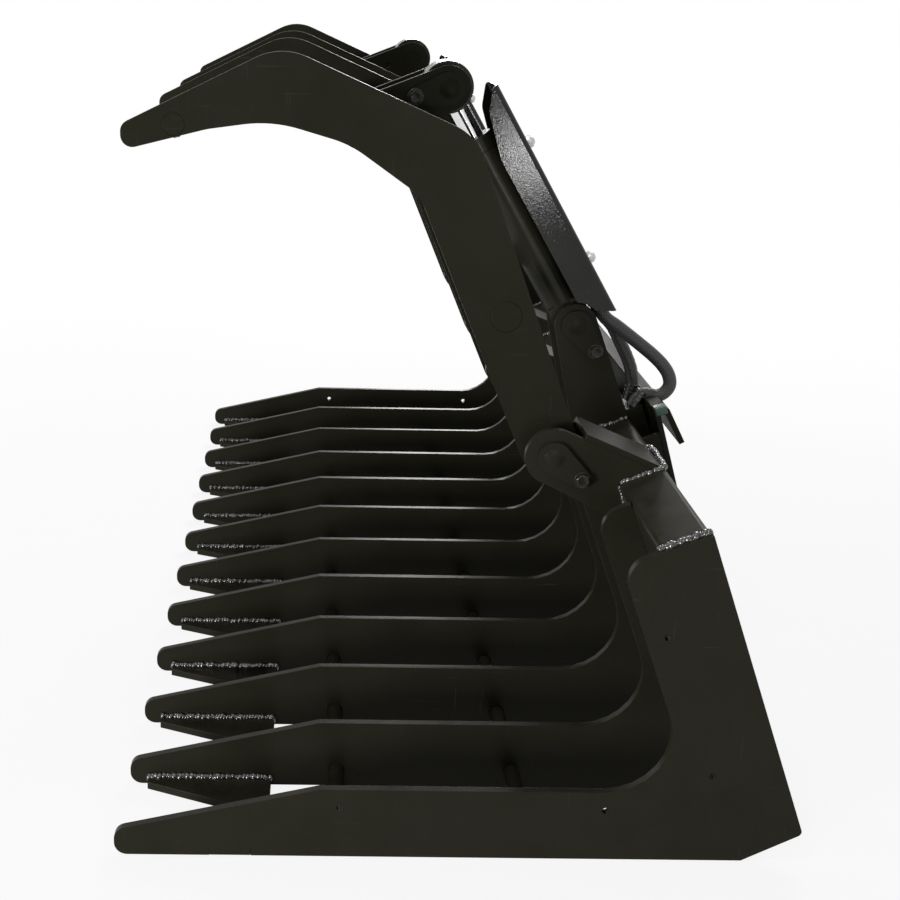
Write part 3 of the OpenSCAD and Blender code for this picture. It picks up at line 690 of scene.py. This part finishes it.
@dataclass
class Studio:
    """Camera, floor, lamps and world."""

    eye: tuple = (0.279474 - PLAN.middle * MM, -2.8352, 1.2184)
    right: tuple = (0.99972795, -0.01138458, 0.02035722)
    up: tuple = (-0.01572514, 0.31561759, 0.94875616)
    behind: tuple = (-0.01722629, -0.94881817, 0.3153527)
    lens: float = 56.0
    shift: float = 0.1278
    floor_size: float = 80.0
    floor_drop: float = 0.0006
    shadow_reach: tuple = (1.4, 3.0)
    shadow_share: float = 0.14
    soft_light: float = 0.26

    def camera(self) -> None:
        """Set the camera as the photograph was taken."""
        data = bpy.data.cameras.new("photo_camera")
        data.sensor_width, data.lens, data.shift_x = 36.0, self.lens, self.shift
        data.clip_start, data.clip_end = 0.05, 200.0
        camera = put("photo_camera", data)
        turn = Matrix((self.right, self.up, self.behind)).transposed().to_4x4()
        camera.matrix_world = Matrix.Translation(Vector(self.eye)) @ turn
        bpy.context.scene.camera = camera

    @staticmethod
    def seen(n: Nodes) -> Socket:
        """Give 1 for rays from the camera, reflections and refractions."""
        path = n.add("LightPath")
        both = n.math("MAXIMUM", path.outputs["Is Camera Ray"], path.outputs["Is Glossy Ray"])
        return n.math("MAXIMUM", both, path.outputs["Is Transmission Ray"])

    def floor(self) -> None:
        """Lay the white floor, which keeps a soft shadow."""
        clear()
        bpy.ops.mesh.primitive_plane_add(size=self.floor_size, location=(0, 0, -self.floor_drop))
        floor = active("studio_floor")
        settle(floor)
        mat = bpy.data.materials.new("floor_white")
        mat.use_nodes = True
        n = Nodes(mat.node_tree)
        mat.node_tree.nodes.remove(mat.node_tree.nodes["Principled BSDF"])
        matte = n.add("BsdfDiffuse", {"Color": (0.8, 0.8, 0.8, 1.0)}).outputs[0]
        glow = n.add("Emission", {"Color": (1.0, 1.0, 1.0, 1.0), "Strength": 1.0}).outputs[0]
        away = n.add("VectorMath", {0: n.place()}, operation="LENGTH").outputs["Value"]
        open_floor = n.ramp(away, *self.shadow_reach, 1.0 - self.shadow_share, 1.0)
        share = n.math("MULTIPLY", self.seen(n), open_floor)
        mixed = n.add("MixShader", {0: share, 1: matte, 2: glow}).outputs[0]
        mat.node_tree.links.new(mixed, mat.node_tree.nodes["Material Output"].inputs["Surface"])
        dress(floor, mat)

    def world(self) -> None:
        """Make the world white to the camera and soft to the object."""
        world = bpy.data.worlds.new("studio_world")
        bpy.context.scene.world = world
        world.use_nodes = True
        n = Nodes(world.node_tree)
        strength = n.ramp(self.seen(n), 0.0, 1.0, self.soft_light, 1.0)
        ground = world.node_tree.nodes["Background"]
        ground.inputs["Color"].default_value = (1.0, 1.0, 1.0, 1.0)
        world.node_tree.links.new(strength, ground.inputs["Strength"])

    @staticmethod
    def lamp(
        name: str, place: Sequence[float], aim: Sequence[float], size: float, watts: float, tall: float = 0.0,
    ) -> None:
        """Hang one soft lamp.

        Args:
            name: its name.
            place: where it hangs.
            aim: the point that it faces.
            size: its width in metres.
            watts: its power.
            tall: its height, if it isn't square.
        """
        data = bpy.data.lights.new(name, "AREA")
        data.shape = "RECTANGLE"
        data.size, data.size_y, data.energy = size, tall or size, watts
        lamp = put(name, data)
        turn = facing(Vector(aim) - Vector(place), "-Z", "Y")
        lamp.matrix_world = Matrix.Translation(Vector(place)) @ turn
        lamp.visible_camera = False

    def build(self) -> None:
        """Set the whole studio."""
        bpy.context.scene.view_settings.view_transform = "Standard"
        self.camera()
        self.floor()
        self.world()
        self.lamp("key_lamp", (-1.6, -2.4, 4.2), aim=(0, 0, 0.4), size=1.0, watts=42)
        self.lamp("low_lamp", (-3.2, -4.2, 0.6), aim=(0, 0, 0.6), size=1.2, watts=215)
        self.lamp("back_lamp", (1.6, 3.4, 3.6), aim=(0, 0, 0.5), size=1.4, watts=110)
        self.lamp("rim_lamp", (0.35, 3.7, 1.15), aim=(0.1, 0, 0.3), size=0.6, watts=26, tall=1.1)
        self.lamp("side_lamp", (-4.2, 1.6, 1.8), aim=(0, 0, 0.5), size=1.4, watts=50)
        self.lamp("front_lamp", (0.5, -3.1, 0.69), aim=(0.1, -0.5, 0.95), size=0.12, watts=3.2, tall=0.2)


@dataclass
class PlateWork:
    """CAD plates and bars whose cut edges get the small rounding that catches light."""

    finishes: Finishes
    edge: float = 0.0011
    sharp: float = 28.0
    eye_radius: float = 0.0435

    def soften(self, node: str, material: Material) -> Mesh:
        """Copy a CAD node, round its edges and let the copy stand for it.

        Args:
            node: the CAD node.
            material: the copy's material.

        Returns:
            The rounded copy.
        """
        piece = put(node + "_dressed", frame["nodes"][node].data.copy())
        piece.data.name = piece.name
        edit(piece)
        bpy.ops.mesh.remove_doubles(threshold=4e-6)
        bpy.ops.mesh.dissolve_limited(angle_limit=math.radians(0.6))
        leave()
        modify(
            piece, "BEVEL", width=self.edge, segments=2, limit_method="ANGLE",
            angle_limit=math.radians(self.sharp), harden_normals=False, use_clamp_overlap=True,
        )
        smooth(piece, 50.0)
        modify(piece, "WEIGHTED_NORMAL", weight=100, keep_sharp=True)
        dress(piece, material)
        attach(piece, BODY_OF[node])
        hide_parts(node)
        log.info("%s rounded", node)
        return piece

    @staticmethod
    def two_tone(piece: Mesh, second: Material, where: Callable[[Vector], bool]) -> None:
        """Give the faces that a test picks a second material.

        Args:
            piece: the dressed piece.
            second: the other material.
            where: the test on a face's middle.
        """
        piece.data.materials.append(second)
        for face in piece.data.polygons:
            if where(face.center):
                face.material_index = 1

    def build(self) -> None:
        """Round every plate, bar and casting of the part."""
        f = self.finishes
        eye, near = PLAN.at(PLAN.rod_pin, 0.0), self.eye_radius
        looks = (
            (("arm_", "rod_lugs", "rod_retainer", "rod_pin"), f.arm, "arm_paint"),
            ("top_tube", f.tube, "frame_paint"),
            ("cross_tubes", f.zinc, "plated_steel"),
            ("guard", f.guard, "guard_paint"),
            (("barrel", "gland", "oil_tube"), f.cylinder, "cylinder_paint"),
            (("rod_", "piston"), f.chrome, "rod_chrome"),
            ("", f.frame, "frame_paint"),
        )
        for node in sorted(frame["nodes"]):
            if node.startswith(("hoses", "guard_nuts", "couplers", "frame_bolts")):
                continue
            material, slot = next(look[1:] for look in looks if node.startswith(look[0]))
            piece = self.soften(node, material)
            if slot == "rod_chrome":
                self.two_tone(piece, f.cylinder, lambda c: math.hypot(c.x - eye.x, c.z - eye.z) < near)


class Leg:
    """Half the width of each kind of bead, in millimetres."""

    FLOOR = 7.4
    TUBE_TOP = 6.6
    TUBE_FRONT = 4.6
    EAR_TOP = 5.6
    EAR_FRONT = 4.6
    CAP = 4.8
    ATTACH_FOOT = 4.8
    ELBOW = 4.8
    PIPE = 4.2
    TIP_BAR = 3.6
    LUG_TOP = 5.4
    LUG_FRONT = 5.0


@dataclass
class WeldWork:
    """Weld beads, laid ripple by ripple along each joint."""

    finishes: Finishes
    step: float = 4.4
    half: float = 5.4
    proud: float = 0.6
    ring_sides: int = 10
    floor_run: tuple = (31.0, 221.0)
    floor_height: float = 13.2
    cap_half: float = 46.0
    attach_foot: tuple = (-45.6, 70.6)
    pipe: tuple = (-81.0, 211.0)
    pipe_radius: float = 24.6
    tip_bar: tuple = (-586.0, 490.0)
    tip_bar_radius: float = 17.0
    dice: random.Random = field(default_factory=lambda: random.Random(11))

    def ripple(self) -> Mesh:
        """Model one ripple, a small round lens moved a little forward along its run."""
        clear()
        bpy.ops.mesh.primitive_uv_sphere_add(segments=8, ring_count=5, radius=1.0)
        piece = active("weld_ripple")
        edit(piece)
        bpy.ops.transform.translate(value=(0.1, 0.0, 0.0))
        leave()
        return piece

    def line(self, start: Vector, end: Vector, leg: float) -> list[Matrix]:
        """Place ripples along a straight joint.

        Args:
            start: the first point in metres.
            end: the last point.
            leg: half the bead's width in millimetres.

        Returns:
            One matrix for each ripple.
        """
        way = end - start
        count = max(2, int(way.length / (self.step * MM)))
        turn = facing(way, "X", "Z")
        places = []
        for i in range(count + 1):
            grow = self.dice.uniform(0.72, 1.26)
            drift = Vector([self.dice.uniform(-1.0, 1.0) * MM for _ in range(3)])
            yaw = Matrix.Rotation(self.dice.uniform(-0.5, 0.5), 4, "Z")
            slant = yaw @ Matrix.Rotation(self.dice.uniform(-0.4, 0.4), 4, "Y")
            size = Matrix.Diagonal((self.half * MM * grow, leg * MM * grow, leg * MM * grow, 1.0))
            spot = Matrix.Translation(start + way * (i / count) + drift)
            places.append(spot @ turn @ slant @ size)
        return places

    def seam(self, start: Sequence[float], end: Sequence[float], y: float, leg: float) -> list[Matrix]:
        """Place ripples between two XZ points at the same Y, as line does."""
        return self.line(PLAN.at(start, y), PLAN.at(end, y), leg)

    def ring(self, xz: Sequence[float], y: float, radius: float, leg: float) -> list[Matrix]:
        """Place ripples round a pipe that goes through a plate.

        Args:
            xz: the pipe's middle in millimetres.
            y: the plate's face.
            radius: the pipe's radius.
            leg: half the bead's width.

        Returns:
            One matrix for each ripple.
        """
        turns = [math.tau * k / self.ring_sides for k in range(self.ring_sides + 1)]
        points = [PLAN.at((xz[0] + radius * math.cos(t), xz[1] + radius * math.sin(t)), y) for t in turns]
        return [m for a, b in zip(points, points[1:]) for m in self.line(a, b, leg)]

    def floor_seams(self) -> list[Matrix]:
        """Weld the front floor plate to the ribs beside it."""
        start, end = ((x, self.floor_height) for x in self.floor_run)
        beside = PLAN.plate / 2 + 1.0
        places = []
        for i in range(PLAN.ribs - 1):
            for y in (PLAN.rib_y(i) + beside, PLAN.rib_y(i + 1) - beside):
                places += self.seam(start, end, y, Leg.FLOOR)
        return places

    def foot_seams(self, faces: Sequence[float], rear: float, front: float, low: float) -> list[Matrix]:
        """Weld plates that stand on the top tube.

        Args:
            faces: Y of each welded face.
            rear: where the bead on top of the tube starts, ahead of the back.
            front: where it ends.
            low: how far the bead on the tube's front reaches below the top.

        Returns:
            One matrix for each ripple.
        """
        top, nose = PLAN.back_height + self.proud, PLAN.tube + self.proud
        upper, lower = PLAN.back_height - 7, PLAN.back_height - low
        places = []
        for y in faces:
            places += self.seam(PLAN.back(rear, top), PLAN.back(front, top), y, Leg.EAR_TOP)
            places += self.seam(PLAN.back(nose, upper), PLAN.back(nose, lower), y, Leg.EAR_FRONT)
        return places

    def plate_faces(self, middle: float) -> list[float]:
        """Give the Y of the four faces of a pair of ears, lugs or mounts."""
        half = PLAN.ear_span / 2
        return [middle + sign * (half - inset) for sign in (-1, 1) for inset in (0.0, PLAN.plate)]

    def frame_seams(self) -> list[Matrix]:
        """Weld the top tube, ears, caps, mounts, tines and attach foot."""
        inner = PLAN.width / 2 - PLAN.plate
        top, nose = PLAN.back_height + 0.5, PLAN.tube + 0.5
        upper, lower = PLAN.back_height - 7, PLAN.back_height - 73
        cap = PLAN.back(self.proud, PLAN.back_height + 1)
        places = []
        for y in (-inner, inner):
            places += self.seam(PLAN.back(3, top), PLAN.back(PLAN.tube - 2, top), y, Leg.TUBE_TOP)
            places += self.seam(PLAN.back(nose, upper), PLAN.back(nose, lower), y, Leg.TUBE_FRONT)
        for side in Side:
            middle = side.value * PLAN.arm_middle
            for ears in (middle - PLAN.arm_half, middle + PLAN.arm_half):
                places += self.foot_seams(self.plate_faces(ears), 2, PLAN.tube - 6, 36)
                ends = [PLAN.at(cap, ears + sign * self.cap_half) for sign in (-1, 1)]
                places += self.line(*ends, Leg.CAP)
            places += self.foot_seams(self.plate_faces(middle), 5, PLAN.tube - 3, 46)
        foot, reach = PLAN.tail(*self.attach_foot), PLAN.attach_width / 2 - 6
        return places + self.line(PLAN.at(foot, -reach), PLAN.at(foot, reach), Leg.ATTACH_FOOT)

    def arm_seams(self, side: Side) -> list[Matrix]:
        """Weld an arm's elbow tube, lugs, middle pipe and tip bar."""
        middle = side.value * PLAN.arm_middle
        face = PLAN.arm_half - PLAN.plate / 2
        h, out = PLAN.elbow_half, PLAN.elbow_half + self.proud
        corners = [PLAN.on_elbow(u, v) for u, v in ((-h, -0.4 * h), (-h, h), (h, h), (h, 0.0))]
        pipe, tip_bar = PLAN.from_pivot(*self.pipe), PLAN.from_pivot(*self.tip_bar)
        places = []
        for y in (middle - face, middle + face):
            for a, b in zip(corners, corners[1:]):
                places += self.seam(a, b, y, Leg.ELBOW)
            places += self.ring(pipe, y, self.pipe_radius, Leg.PIPE)
            places += self.ring(tip_bar, y, self.tip_bar_radius, Leg.TIP_BAR)
        for y in self.plate_faces(middle):
            places += self.seam(PLAN.on_elbow(2 - h, out), PLAN.on_elbow(h - 7, out), y, Leg.LUG_TOP)
            places += self.seam(PLAN.on_elbow(out, h - 7), PLAN.on_elbow(out, 9 - h), y, Leg.LUG_FRONT)
        return places

    def build(self) -> None:
        """Lay every bead."""
        template = self.ripple()
        seams = [
            ("floor_plate_welds", "frame", self.floor_seams()),
            ("frame_welds", "frame", self.frame_seams()),
        ]
        seams += [(f"arm_welds_{side.label}", f"arm_{side.label}", self.arm_seams(side)) for side in Side]
        for name, body, places in seams:
            piece = repeat(template, places, name)
            finish(piece, self.finishes.weld, body, degrees=60)
        remove(template)


@dataclass
class FastenerWork:
    """Hex bolts in the retaining plates and domed nuts on the guards."""

    finishes: Finishes
    head_radius: float = 10.9
    head_height: float = 8.3
    nut_radius: float = 11.2
    nut_height: float = 9.0
    reach: float = 56.0
    base_way: tuple = (0.62, -0.785)
    pivot_way: tuple = (0.805, -0.593)
    rod_way: tuple = (-0.97, -0.24)
    guard_back: float = 71.0
    nut_places: tuple = (80.0, 304.0)

    @staticmethod
    def hexagon(radius: float, height: float, name: str) -> Mesh:
        """Model a hexagon with chamfered corners and a shallow recess, base at the origin.

        Args:
            radius: over its corners, in millimetres.
            height: its height.
            name: the new piece's name.

        Returns:
            The hexagon.
        """
        clear()
        bpy.ops.mesh.primitive_cylinder_add(
            vertices=6, radius=radius * MM, depth=height * MM, location=(0, 0, height * MM / 2),
        )
        piece = active(name)
        settle(piece)
        edit(piece, "DESELECT")
        leave()
        for face in piece.data.polygons:
            face.select = face.normal.z > 0.9
        bpy.ops.object.mode_set(mode="EDIT")
        bpy.ops.mesh.inset(thickness=0.0018, depth=0.0)
        bpy.ops.transform.translate(value=(0, 0, 0.0007))
        bpy.ops.mesh.inset(thickness=0.0006, depth=-0.0004)
        leave()
        modify(
            piece, "BEVEL", width=0.0005, segments=2, limit_method="ANGLE", angle_limit=math.radians(25),
        )
        return piece

    def bolt(self) -> Mesh:
        """Model a bolt's head on its washer."""
        washer = turned(
            [(0, 0), (12.6, 0), (13.2, 0.5), (13.2, 1.5), (12.4, 2.1), (0, 2.1)], "bolt_washer",
        )
        return join([washer, self.hexagon(self.head_radius, self.head_height, "bolt_head")])

    def nut(self) -> Mesh:
        """Model a domed nut on its washer, with the dome turned in one piece."""
        washer = turned(
            [(0, 0), (13.2, 0), (13.8, 0.4), (13.8, 1.4), (13.0, 1.9), (0, 1.9)], "nut_washer",
        )
        dome = turned(
            [(8.6, 8.6), (8.3, 10.4), (7.3, 12.2), (5.6, 13.6), (3.2, 14.5), (0, 14.8)], "nut_dome", 20,
        )
        return join([washer, dome, self.hexagon(self.nut_radius, self.nut_height, "nut_body")])

    @staticmethod
    def pin_end() -> Mesh:
        """Turn a pin's end as it shows in its retaining plate, inside its ring of weld."""
        return turned(
            [(0, 0), (16.4, 0), (16.2, 0.3), (15.6, 0.6), (15.1, 0.4), (14.7, 0.4), (14.3, 0.6), (0, 0.6)],
            "pin_end", 40,
        )

    def place(
        self, pin: Sequence[float], middle: float, side: Side,
        way: Sequence[float] = (0.0, 0.0), turn: float = 0.0,
    ) -> Matrix:
        """Place a piece on the outer face of a pin's retaining plate.

        Args:
            pin: the pin's X and Z.
            middle: the middle plane of the pair that the pin goes through.
            side: the arm.
            way: direction from the pin to the piece, or none at the pin itself.
            turn: the piece's own turn in degrees.

        Returns:
            The piece's matrix.
        """
        face = middle + side.value * (PLAN.ear_span / 2 + PLAN.retainer)
        xz = (pin[0] + self.reach * way[0], pin[1] + self.reach * way[1])
        spin = Matrix.Rotation(math.radians(-90.0 * side.value), 4, "X")
        return Matrix.Translation(PLAN.at(xz, face)) @ spin @ Matrix.Rotation(math.radians(turn), 4, "Z")

    def moving(self, bolt: Mesh, nut: Mesh, end: Mesh, side: Side) -> None:
        """Put the pieces that move with one arm and its cylinder.

        Args:
            bolt: the bolt's template.
            nut: the nut's template.
            end: the pin end's template.
            side: the arm.
        """
        label, y = side.label, side.value * PLAN.arm_middle
        head = repeat(bolt, [self.place(PLAN.rod_pin, y, side, self.rod_way, 8)], f"lug_bolt_{label}")
        finish(head, self.finishes.bolt, f"arm_{label}")
        tip = repeat(end, [self.place(PLAN.rod_pin, y, side)], f"lug_pin_end_{label}")
        finish(tip, self.finishes.arm, f"arm_{label}")
        c, s = math.cos(PLAN.cylinder_turn), math.sin(PLAN.cylinder_turn)
        lean = Matrix(((0.0, s, c, 0.0), (1.0, 0.0, 0.0, 0.0), (0.0, c, -s, 0.0), (0.0, 0.0, 0.0, 1.0)))
        places = []
        for along in self.nut_places:
            spot = Matrix.Translation(PLAN.on_cylinder(self.guard_back, 0.0, along, side))
            places.append(spot @ lean @ Matrix.Rotation(math.radians(along / 9), 4, "Z"))
        nuts = repeat(nut, places, f"domed_nuts_{label}")
        finish(nuts, self.finishes.zinc, f"cylinder_{label}", [f"guard_nuts_{label}"])

    def build(self) -> None:
        """Put every bolt, pin end and nut in its place."""
        bolt, nut, end = self.bolt(), self.nut(), self.pin_end()
        heads, ends = [], []
        for side in Side:
            y = side.value * PLAN.arm_middle
            heads.append(self.place(PLAN.base_pin, y, side, self.base_way, 12))
            ends.append(self.place(PLAN.base_pin, y, side))
            for half in (-PLAN.arm_half, PLAN.arm_half):
                heads.append(self.place(PLAN.pivot, y + half, side, self.pivot_way, 27 + half / 20))
                ends.append(self.place(PLAN.pivot, y + half, side))
            self.moving(bolt, nut, end, side)
        bolts = repeat(bolt, heads, "retaining_bolts")
        finish(bolts, self.finishes.bolt, "frame", ["frame_bolts"])
        finish(repeat(end, ends, "pin_ends"), self.finishes.frame, "frame")
        for template in (end, bolt, nut):
            remove(template)


@dataclass
class HoseWork:
    """Each cylinder's two hoses, one in a fine woven sleeve and one in a coarse net, with their ferrules."""

    finishes: Finishes
    radius: float = 11.5
    sides: int = 24
    strands: int = 3
    strand_pitch: float = 420.0
    pace: float = 0.0028
    port_y: float = 18.0
    port: tuple = (48.0, 29.7)
    block: tuple = (-15.0, 511.3)
    outer: tuple = (
        (42, 24), (56, 6), (74, -6), (96, -22), (120, -40), (143, -58), (162, -76), (174, -94), (177, -112),
        (168, -126), (154, -131), (140, -128), (129, -130), (121, -139),
    )
    inner: tuple = ((42, 24), (58, 4), (76, -16), (90, -41), (105, -68), (116, -95), (121, -122))

    def route(self, bends: Sequence[tuple], side: Side, y: float) -> list[Vector]:
        """Run a smooth line from the port through the bends to the block.

        Args:
            bends: X and Z of each point from the base pin.
            side: the arm.
            y: distance from the cylinder's middle plane.

        Returns:
            Closely set points in metres.
        """
        x, z = PLAN.base_pin
        middle = side.value * PLAN.arm_middle + y
        port = PLAN.on_cylinder(self.port[0], y, self.port[1], side)
        block = PLAN.at(PLAN.back(*self.block), middle)
        knots = [port] + [PLAN.at((x + u, z + v), middle) for u, v in bends] + [block]
        knots = [knots[0] * 2 - knots[1]] + knots + [knots[-1] * 2 - knots[-2]]
        points = []
        for a, b, c, d in zip(knots, knots[1:], knots[2:], knots[3:]):
            steps = max(3, int((c - b).length / self.pace))
            square, cube = 2 * a - 5 * b + 4 * c - d, 3 * b - a - 3 * c + d
            for t in (i / steps for i in range(steps)):
                points.append(0.5 * (2 * b + (c - a) * t + square * t * t + cube * t ** 3))
        return points + [block]

    def sweep(self, points: Sequence[Vector], name: str, weave: float) -> Mesh:
        """Sweep a round section along a route that stays in one XZ plane.

        Args:
            points: the route in metres.
            name: the new piece's name.
            weave: height of the crossed strands as a share of the radius.

        Returns:
            The closed tube, with a UV map of turns and metres.
        """
        sides, last = self.sides, len(points) - 1
        verts, lengths = [], [0.0]
        for a, b in zip(points, points[1:]):
            lengths.append(lengths[-1] + (b - a).length)
        for i, point in enumerate(points):
            way = (points[min(i + 1, last)] - points[max(i - 1, 0)]).normalized()
            flat = Vector((-way.z, 0.0, way.x))
            shift = lengths[i] * self.strand_pitch
            for k in range(sides):
                turn = math.tau * k / sides
                strand = math.sin(self.strands * turn + shift) * math.sin(self.strands * turn - shift)
                r = self.radius * MM * (1.0 - weave * abs(strand))
                verts.append(point + flat * (r * math.cos(turn)) + Vector((0.0, r * math.sin(turn), 0.0)))
        faces = [tuple(range(sides)), tuple(reversed(range(len(verts) - sides, len(verts))))]
        for near in range(0, last * sides, sides):
            far = near + sides
            for k in range(sides):
                beside = (k + 1) % sides
                faces.append((near + k, far + k, far + beside, near + beside))
        data = bpy.data.meshes.new(name)
        data.from_pydata(verts, [], faces)
        chart = data.uv_layers.new(name="UVMap")
        for face in data.polygons:
            closes = face.index > 1 and max(v % sides for v in face.vertices) == sides - 1
            for loop, vertex in zip(face.loop_indices, face.vertices):
                k, i = vertex % sides, vertex // sides
                wrap = 1.0 if k == 0 and closes else 0.0
                chart.data[loop].uv = (k / sides + wrap, lengths[i])
        piece = put(name, data)
        normals_out(piece)
        return piece

    def ferrule(self) -> Mesh:
        """Turn a crimped ferrule with its grooves."""
        return turned(
            [
                (0, 0), (11.6, 0), (11.6, 9), (9.5, 10), (12.2, 11), (12.2, 16), (11.4, 17), (12.2, 18),
                (12.2, 23), (11.4, 24), (12.2, 25), (12.2, 30), (10.4, 31.5), (0, 31.5),
            ],
            "ferrule",
        )

    def build(self) -> None:
        """Make the hoses of both sides."""
        ferrule = self.ferrule()
        for side in Side:
            label = side.label
            caps = []
            for name, bends, y, sleeve, weave in (
                ("outer", self.outer, -self.port_y, self.finishes.sleeve, 0.0),
                ("inner", self.inner, self.port_y, self.finishes.net, 0.12),
            ):
                points = self.route(bends, side, y)
                piece = self.sweep(points, f"hose_{name}_{label}", weave)
                smooth(piece, 60)
                dress(piece, sleeve)
                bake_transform(piece)
                if name == "outer":
                    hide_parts(f"hoses_{label}")
                caps.append((points[-1], points[-8], "frame"))
                caps.append((points[0], points[6], f"cylinder_{label}"))
                log.info("%s swept", piece.name)
            for body in ("frame", f"cylinder_{label}"):
                places = [
                    Matrix.Translation(end) @ facing(near - end, "Z", "Y")
                    for end, near, owner in caps if owner == body
                ]
                name = f"ferrules_{'block' if body == 'frame' else 'port'}_{label}"
                piece = repeat(ferrule, places, name)
                finish(piece, self.finishes.dark_steel, body, degrees=25)
        remove(ferrule)


@dataclass
class RearWork:
    """The quick couplers and the tape on the lip's end."""

    finishes: Finishes
    spread: float = 30.0
    coupler_foot: tuple = (-15.0, 441.0)
    tape_size: tuple = (0.0215, 0.024, 0.0135)
    tape_place: tuple = (-47.5, 515.5)
    tape_inset: float = 11.4

    def couplers(self) -> None:
        """Turn one quick coupler and hang both from the manifold."""
        template = turned(
            [
                (0, 0), (13, 0), (13, 17), (12, 18), (14, 19), (14, 27), (13, 28), (14, 29), (14, 34),
                (12.6, 35), (12.6, 38), (14, 39), (14, 50), (13.2, 51.8), (9.5, 51.8), (9.5, 44), (0, 44),
            ],
            "coupler", 32,
        )
        foot = PLAN.back(*self.coupler_foot)
        turn = Matrix.Rotation(math.pi - PLAN.lean, 4, "Y")
        places = [Matrix.Translation(PLAN.at(foot, side.value * self.spread)) @ turn for side in Side]
        pair = repeat(template, places, "quick_couplers")
        finish(pair, self.finishes.zinc, "frame", ["couplers"])
        remove(template)

    def tape(self) -> None:
        """Wrap a strip of tape over the near end of the lip."""
        clear()
        bpy.ops.mesh.primitive_cube_add(size=1.0)
        piece = active("lip_end_tape")
        piece.scale = self.tape_size
        settle(piece)
        modify(
            piece, "BEVEL", width=0.0016, segments=3, limit_method="ANGLE", angle_limit=math.radians(30),
        )
        middle = PLAN.at(PLAN.tail(*self.tape_place), self.tape_inset - PLAN.attach_width / 2)
        lean = Matrix.Rotation(PLAN.attach_tilt - PLAN.lean, 4, "Y")
        piece.matrix_world = Matrix.Translation(middle) @ lean
        settle(piece)
        finish(piece, self.finishes.tape, "frame")

    def build(self) -> None:
        """Make both."""
        self.couplers()
        self.tape()


def main() -> None:
    """Build the studio and every sub-assembly, in order."""
    logging.basicConfig(level=logging.INFO, format="%(name)s: %(message)s")
    finishes = Finishes()
    Studio().build()
    PlateWork(finishes).build()
    WeldWork(finishes).build()
    FastenerWork(finishes).build()
    HoseWork(finishes).build()
    RearWork(finishes).build()


if __name__ == "__main__":
    main()
